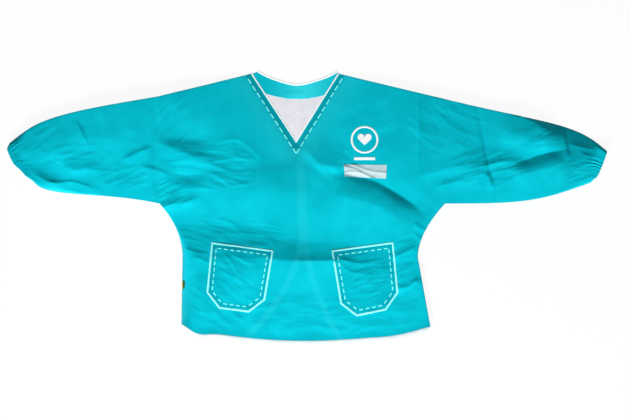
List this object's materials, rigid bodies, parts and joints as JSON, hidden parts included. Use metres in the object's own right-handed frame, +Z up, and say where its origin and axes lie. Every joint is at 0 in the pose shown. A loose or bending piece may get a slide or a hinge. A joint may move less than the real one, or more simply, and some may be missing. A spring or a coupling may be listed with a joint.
{
  "type": "child's medical play smock",
  "caption": "Child's long-sleeved teal medical play smock lying face up, with a V neck, white bound edges, slanted patch pockets, a blank name patch and elastic cuffs.",
  "frame": {"origin": "on the floor under the middle of the outline's bounding box", "axes": "+X across the sleeves to the wearer's left, +Y from hem to neck, +Z up through the front face; the back lies on z = 0"},
  "size_m": [1, 0.449, 0.0241],
  "materials": {
    "teal_cloth": "thin plain-weave cloth, teal outside and white on its reverse",
    "facing_cloth": "the same cloth doubled, so it looks darker",
    "white_binding": "folded white bias tape",
    "white_thread": "white topstitching thread",
    "white_satin": "white satin with a soft sheen",
    "white_print": "thin white transfer print",
    "label_weave": "dark green woven tape with a yellow edge",
    "hook_and_loop": "white hook-and-loop tape",
    "elastic": "flat white elastic"
  },
  "bodies": {
    "torso": {"front_panel": "teal_cloth", "left_back_panel": "teal_cloth", "right_back_panel": "teal_cloth", "v_facing": "facing_cloth", "v_binding": "white_binding", "v_stitching": "white_thread", "left_neck_facing": "teal_cloth", "right_neck_facing": "teal_cloth", "left_neck_binding": "white_binding", "right_neck_binding": "white_binding", "left_back_binding": "white_binding", "right_back_binding": "white_binding", "front_hem_binding": "white_binding", "left_pocket": "teal_cloth", "right_pocket": "teal_cloth", "left_pocket_binding": "white_binding", "right_pocket_binding": "white_binding", "left_pocket_stitching": "white_thread", "right_pocket_stitching": "white_thread", "name_patch": "white_satin", "chest_emblem": "white_print", "loop_tape": "hook_and_loop"},
    "left_sleeve": {"left_sleeve_front": "teal_cloth", "left_sleeve_back": "teal_cloth", "left_cuff_casing": "teal_cloth", "left_cuff_elastic": "elastic"},
    "right_sleeve": {"right_sleeve_front": "teal_cloth", "right_sleeve_back": "teal_cloth", "right_cuff_casing": "teal_cloth", "right_cuff_elastic": "elastic"},
    "closure_tab": {"closure_tab": "teal_cloth", "hook_tape": "hook_and_loop"},
    "side_label": {"side_label": "label_weave"}
  },
  "joints": [
    {"name": "left_sleeve_fold", "type": "hinge", "parent": "torso", "child": "left_sleeve", "pos_m": [0.232, 0.09, 0.0152], "axis": [0, -1, 0], "range_deg": [0, 168]},
    {"name": "right_sleeve_fold", "type": "hinge", "parent": "torso", "child": "right_sleeve", "pos_m": [-0.246, 0.09, 0.0152], "axis": [0, 1, 0], "range_deg": [0, 155]},
    {"name": "closure_peel", "type": "hinge", "parent": "torso", "child": "closure_tab", "pos_m": [0.00488, 0.18895, 0.0019], "axis": [0, 1, 0], "range_deg": [0, 100]},
    {"name": "label_flip", "type": "hinge", "parent": "torso", "child": "side_label", "pos_m": [-0.20885, -0.1331, 0.00331], "axis": [0, -1, 0], "range_deg": [0, 130]}
  ]
}
